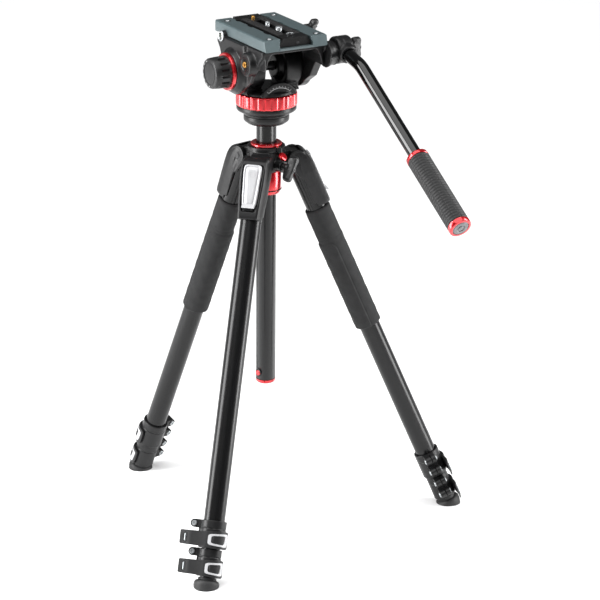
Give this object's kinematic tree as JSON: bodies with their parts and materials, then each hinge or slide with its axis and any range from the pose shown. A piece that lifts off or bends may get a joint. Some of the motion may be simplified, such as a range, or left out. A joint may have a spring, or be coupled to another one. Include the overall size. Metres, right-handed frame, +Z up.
{
  "type": "camera tripod",
  "caption": "Three-section folding tripod with flip-lever leg clamps, a sliding centre column and a fluid head with a sliding camera plate and a pan bar.",
  "frame": {"origin": "on the floor, under the middle of the whole object's bounding box", "axes": "+Z up; +Y the way the camera looks; +X to the operator's right, the side with the pan bar"},
  "size_m": [0.5047, 0.6783, 0.7281],
  "materials": {
    "black_tube": "black anodised, satin gloss",
    "black_casting": "black die casting, fine matt texture",
    "black_plastic": "dark grey glass-filled plastic",
    "silver_lever": "bright satin",
    "steel": "turned steel",
    "red_anodised": "red anodised, glossy",
    "teal_anodised": "blue-grey anodised, satin",
    "foam": "closed-cell foam, matt",
    "rubber": "matt rubber"
  },
  "bodies": {
    "hub": {"spider": "black_casting", "column_collar": "red_anodised", "lower_sleeve": "red_anodised", "hinge_pin_front": "steel", "hinge_pin_right": "steel", "hinge_pin_left": "steel"},
    "leg_front": {"leg_bracket_front": "black_casting", "upper_tube_front": "black_tube", "upper_collar_front": "black_casting"},
    "angle_lever_front": {"angle_lever_front": "silver_lever"},
    "upper_lever_front": {"upper_lever_front": "black_plastic"},
    "leg_middle_front": {"middle_tube_front": "black_tube", "lower_collar_front": "black_casting"},
    "lower_lever_front": {"lower_lever_front": "black_plastic"},
    "leg_lower_front": {"lower_tube_front": "black_tube", "foot_front": "rubber"},
    "leg_right": {"leg_bracket_right": "black_casting", "upper_tube_right": "black_tube", "upper_collar_right": "black_casting", "foam_sleeve_right": "foam"},
    "angle_lever_right": {"angle_lever_right": "silver_lever"},
    "upper_lever_right": {"upper_lever_right": "black_plastic"},
    "leg_middle_right": {"middle_tube_right": "black_tube", "lower_collar_right": "black_casting"},
    "lower_lever_right": {"lower_lever_right": "black_plastic"},
    "leg_lower_right": {"lower_tube_right": "black_tube", "foot_right": "rubber"},
    "leg_left": {"leg_bracket_left": "black_casting", "upper_tube_left": "black_tube", "upper_collar_left": "black_casting", "foam_sleeve_left": "foam"},
    "angle_lever_left": {"angle_lever_left": "silver_lever"},
    "upper_lever_left": {"upper_lever_left": "black_plastic"},
    "leg_middle_left": {"middle_tube_left": "black_tube", "lower_collar_left": "black_casting"},
    "lower_lever_left": {"lower_lever_left": "black_plastic"},
    "leg_lower_left": {"lower_tube_left": "black_tube", "foot_left": "rubber"},
    "column_lock": {"column_lock_knob": "black_plastic"},
    "column": {"centre_column": "black_tube", "column_end_cap": "red_anodised", "column_plate": "black_casting", "head_base": "black_casting"},
    "column_button": {"column_button": "red_anodised"},
    "pan_ring": {"pan_ring": "red_anodised"},
    "pan": {"pan_housing": "black_casting", "tilt_axle": "steel"},
    "pan_lock": {"pan_lock_knob": "black_plastic"},
    "tilt": {"tilt_frame": "black_casting", "cradle": "teal_anodised"},
    "tilt_drag": {"tilt_drag_knob": "black_plastic"},
    "tilt_lock": {"tilt_lock_lever": "black_plastic"},
    "camera_plate": {"sliding_plate": "black_casting"},
    "camera_screw_large": {"camera_screw_large": "steel"},
    "camera_screw_small": {"camera_screw_small": "steel"},
    "plate_lock": {"plate_lock_knob": "black_plastic"},
    "pan_bar": {"pan_bar": "black_tube", "pan_bar_clamp": "black_casting", "pan_bar_grip": "rubber"},
    "clamp_knob": {"clamp_knob": "black_plastic"}
  },
  "joints": [
    {"name": "leg_spread_front", "type": "hinge", "parent": "hub", "child": "leg_front", "pos_m": [-0.05272, 0.03066, 0.5325], "axis": [-0.6934, 0.7206, 0], "range_deg": [-23.5, 64.5]},
    {"name": "angle_release_front", "type": "hinge", "parent": "leg_front", "child": "angle_lever_front", "pos_m": [-0.06595, 0.01793, 0.53667], "axis": [-0.6934, 0.7206, 0], "range_deg": [0, 28], "stiffness_Nm_per_rad": 0.05},
    {"name": "upper_clamp_front", "type": "hinge", "parent": "leg_front", "child": "upper_lever_front", "pos_m": [-0.23144, -0.10496, 0.06671], "axis": [-0.2873, -0.2765, -0.9171], "range_deg": [0, 50]},
    {"name": "middle_slide_front", "type": "slide", "parent": "leg_front", "child": "leg_middle_front", "axis": [-0.2873, -0.2765, -0.9171], "range_m": [0, 0.34]},
    {"name": "lower_clamp_front", "type": "hinge", "parent": "leg_middle_front", "child": "lower_lever_front", "pos_m": [-0.24029, -0.11597, 0.02996], "axis": [-0.2873, -0.2765, -0.9171], "range_deg": [0, 50]},
    {"name": "lower_slide_front", "type": "slide", "parent": "leg_middle_front", "child": "leg_lower_front", "axis": [-0.2873, -0.2765, -0.9171], "range_m": [0, 0.35]},
    {"name": "leg_spread_right", "type": "hinge", "parent": "hub", "child": "leg_right", "pos_m": [0.01453, 0.04731, 0.5325], "axis": [-0.2773, -0.9608, 0], "range_deg": [-23.5, 64.5]},
    {"name": "angle_release_right", "type": "hinge", "parent": "leg_right", "child": "angle_lever_right", "pos_m": [0.03217, 0.04222, 0.53667], "axis": [-0.2773, -0.9608, 0], "range_deg": [0, 28], "stiffness_Nm_per_rad": 0.05},
    {"name": "upper_clamp_right", "type": "hinge", "parent": "leg_right", "child": "upper_lever_right", "pos_m": [0.22134, -0.03965, 0.06671], "axis": [0.3831, -0.1106, -0.9171], "range_deg": [0, 50]},
    {"name": "middle_slide_right", "type": "slide", "parent": "leg_right", "child": "leg_middle_right", "axis": [0.3831, -0.1106, -0.9171], "range_m": [0, 0.34]},
    {"name": "lower_clamp_right", "type": "hinge", "parent": "leg_middle_right", "child": "lower_lever_right", "pos_m": [0.23531, -0.04181, 0.02996], "axis": [0.3831, -0.1106, -0.9171], "range_deg": [0, 50]},
    {"name": "lower_slide_right", "type": "slide", "parent": "leg_middle_right", "child": "leg_lower_right", "axis": [0.3831, -0.1106, -0.9171], "range_m": [0, 0.35]},
    {"name": "leg_spread_left", "type": "hinge", "parent": "hub", "child": "leg_left", "pos_m": [-0.03351, 0.09723, 0.5325], "axis": [0.9707, 0.2402, 0], "range_deg": [-23.5, 64.5]},
    {"name": "angle_release_left", "type": "hinge", "parent": "leg_left", "child": "angle_lever_left", "pos_m": [-0.03792, 0.11505, 0.53667], "axis": [0.9707, 0.2402, 0], "range_deg": [0, 28], "stiffness_Nm_per_rad": 0.05},
    {"name": "upper_clamp_left", "type": "hinge", "parent": "leg_left", "child": "upper_lever_left", "pos_m": [-0.0616, 0.31981, 0.06671], "axis": [-0.0958, 0.3871, -0.9171], "range_deg": [0, 50]},
    {"name": "middle_slide_left", "type": "slide", "parent": "leg_left", "child": "leg_middle_left", "axis": [-0.0958, 0.3871, -0.9171], "range_m": [0, 0.34]},
    {"name": "lower_clamp_left", "type": "hinge", "parent": "leg_middle_left", "child": "lower_lever_left", "pos_m": [-0.06672, 0.33299, 0.02996], "axis": [-0.0958, 0.3871, -0.9171], "range_deg": [0, 50]},
    {"name": "lower_slide_left", "type": "slide", "parent": "leg_middle_left", "child": "leg_lower_left", "axis": [-0.0958, 0.3871, -0.9171], "range_m": [0, 0.35]},
    {"name": "column_lock_turn", "type": "hinge", "parent": "hub", "child": "column_lock", "pos_m": [-0.0153, 0.02365, 0.527], "axis": [0.2402, -0.9707, 0], "range_deg": [-100, 100]},
    {"name": "column_slide", "type": "slide", "parent": "hub", "child": "column", "axis": [0, 0, 1], "range_m": [-0.026, 0.255]},
    {"name": "column_button_press", "type": "slide", "parent": "column", "child": "column_button", "axis": [0.9703, 0.2419, 0], "range_m": [0, 0.0012], "stiffness_N_per_m": 500},
    {"name": "pan_drag_turn", "type": "hinge", "parent": "column", "child": "pan_ring", "pos_m": [-0.0239, 0.0584, 0.6193], "axis": [0, 0, 1], "range_deg": [-135, 135]},
    {"name": "pan", "type": "hinge", "parent": "column", "child": "pan", "pos_m": [-0.0239, 0.0584, 0.6287], "axis": [0, 0, 1], "continuous": true},
    {"name": "pan_lock_turn", "type": "hinge", "parent": "pan", "child": "pan_lock", "pos_m": [-0.04902, 0.09055, 0.635], "axis": [-0.6157, 0.788, 0], "range_deg": [-135, 135]},
    {"name": "tilt", "type": "hinge", "parent": "pan", "child": "tilt", "pos_m": [-0.0239, 0.0584, 0.6635], "axis": [1, 0, 0], "range_deg": [-70, 55]},
    {"name": "tilt_drag_turn", "type": "hinge", "parent": "tilt", "child": "tilt_drag", "pos_m": [-0.0842, 0.0584, 0.6635], "axis": [-1, 0, 0], "range_deg": [-135, 135]},
    {"name": "tilt_lock_turn", "type": "hinge", "parent": "tilt", "child": "tilt_lock", "pos_m": [0.0324, 0.0584, 0.6635], "axis": [1, 0, 0], "range_deg": [-40, 40]},
    {"name": "plate_slide", "type": "slide", "parent": "tilt", "child": "camera_plate", "axis": [0, 1, 0], "range_m": [-0.04, 0.04]},
    {"name": "camera_screw_large_turn", "type": "hinge", "parent": "camera_plate", "child": "camera_screw_large", "pos_m": [-0.0239, 0.0244, 0.719], "axis": [0, 0, 1], "continuous": true},
    {"name": "camera_screw_small_turn", "type": "hinge", "parent": "camera_plate", "child": "camera_screw_small", "pos_m": [-0.0239, 0.0564, 0.719], "axis": [0, 0, 1], "continuous": true},
    {"name": "plate_lock_turn", "type": "hinge", "parent": "tilt", "child": "plate_lock", "pos_m": [0.0239, 0.0394, 0.7168], "axis": [1, 0, 0], "range_deg": [-90, 90]},
    {"name": "pan_bar_angle", "type": "hinge", "parent": "tilt", "child": "pan_bar", "pos_m": [0.0506, -0.0166, 0.6935], "axis": [1, 0, 0], "range_deg": [-90, 0]},
    {"name": "clamp_knob_turn", "type": "hinge", "parent": "pan_bar", "child": "clamp_knob", "pos_m": [0.0626, -0.0166, 0.695], "axis": [1, 0, 0], "range_deg": [-120, 120]}
  ]
}
